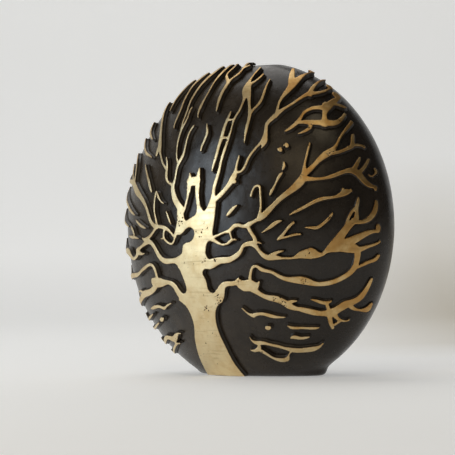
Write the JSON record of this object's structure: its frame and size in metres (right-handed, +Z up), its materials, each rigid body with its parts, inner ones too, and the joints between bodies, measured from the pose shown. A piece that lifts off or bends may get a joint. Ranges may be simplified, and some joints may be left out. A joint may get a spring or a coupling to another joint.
{
  "type": "tree of life vase",
  "caption": "Flat round free-standing vase with an oval mouth and a branching tree in raised relief over its front face.",
  "frame": {"origin": "middle of the flat foot, on the surface that the vase stands on", "axes": "+Z up to the mouth; the tree faces -Y; +X is to the right of a person who looks at the tree"},
  "size_m": [0.2619, 0.1188, 0.2476],
  "materials": {
    "dark_clay": "near-black brown burnished clay, satin",
    "raw_clay": "unpolished clay, matte",
    "gilded_clay": "raised clay with dark sides and a rubbed, polished gold face"
  },
  "bodies": {
    "root": {"back_shell": "dark_clay", "crown_fork_right": "gilded_clay", "crown_limb_left": "gilded_clay", "crown_limb_right": "gilded_clay", "crown_loop": "gilded_clay", "crown_peak_twig": "gilded_clay", "crown_ring_right": "gilded_clay", "crown_spray_left": "gilded_clay", "crown_twig_far_left": "gilded_clay", "crown_twig_left": "gilded_clay", "crown_twig_left_edge": "gilded_clay", "crown_twig_middle": "gilded_clay", "crown_twin_prongs": "gilded_clay", "foot_slab": "dark_clay", "front_shell": "dark_clay", "low_dot": "gilded_clay", "low_dot_left": "gilded_clay", "low_loop_left": "gilded_clay", "low_loop_right": "gilded_clay", "low_twig_left": "gilded_clay", "low_twig_outer_left": "gilded_clay", "low_twig_short": "gilded_clay", "low_twig_thin": "gilded_clay", "low_twig_thin_left": "gilded_clay", "low_twig_winged": "gilded_clay", "lower_arc_left": "gilded_clay", "lower_arc_right": "gilded_clay", "lower_arm_left": "gilded_clay", "lower_arm_right": "gilded_clay", "lower_hand_right": "gilded_clay", "middle_arm_left": "gilded_clay", "middle_arm_right": "gilded_clay", "middle_edge_twig_left": "gilded_clay", "middle_hand_right": "gilded_clay", "middle_twig_bowed": "gilded_clay", "middle_twig_forked": "gilded_clay", "middle_twig_forked_left": "gilded_clay", "middle_twig_high_left": "gilded_clay", "middle_twig_left": "gilded_clay", "middle_twig_near": "gilded_clay", "mouth_collar": "dark_clay", "seam_coil": "raw_clay", "shoulder_branch_right": "gilded_clay", "shoulder_chips": "gilded_clay", "shoulder_leaf": "gilded_clay", "shoulder_limb_right": "gilded_clay", "shoulder_twig_lower": "gilded_clay", "shoulder_twig_upper": "gilded_clay", "trunk": "gilded_clay", "upper_arm_left": "gilded_clay", "upper_arm_right": "gilded_clay", "upper_edge_twig_left": "gilded_clay", "upper_edge_twig_right": "gilded_clay", "upper_leaf_left": "gilded_clay", "upper_limb_left": "gilded_clay", "upper_limb_right": "gilded_clay", "upper_spray_right": "gilded_clay", "upper_twig_high_left": "gilded_clay", "upper_twig_left": "gilded_clay", "upper_twig_long_right": "gilded_clay"}
  },
  "joints": []
}
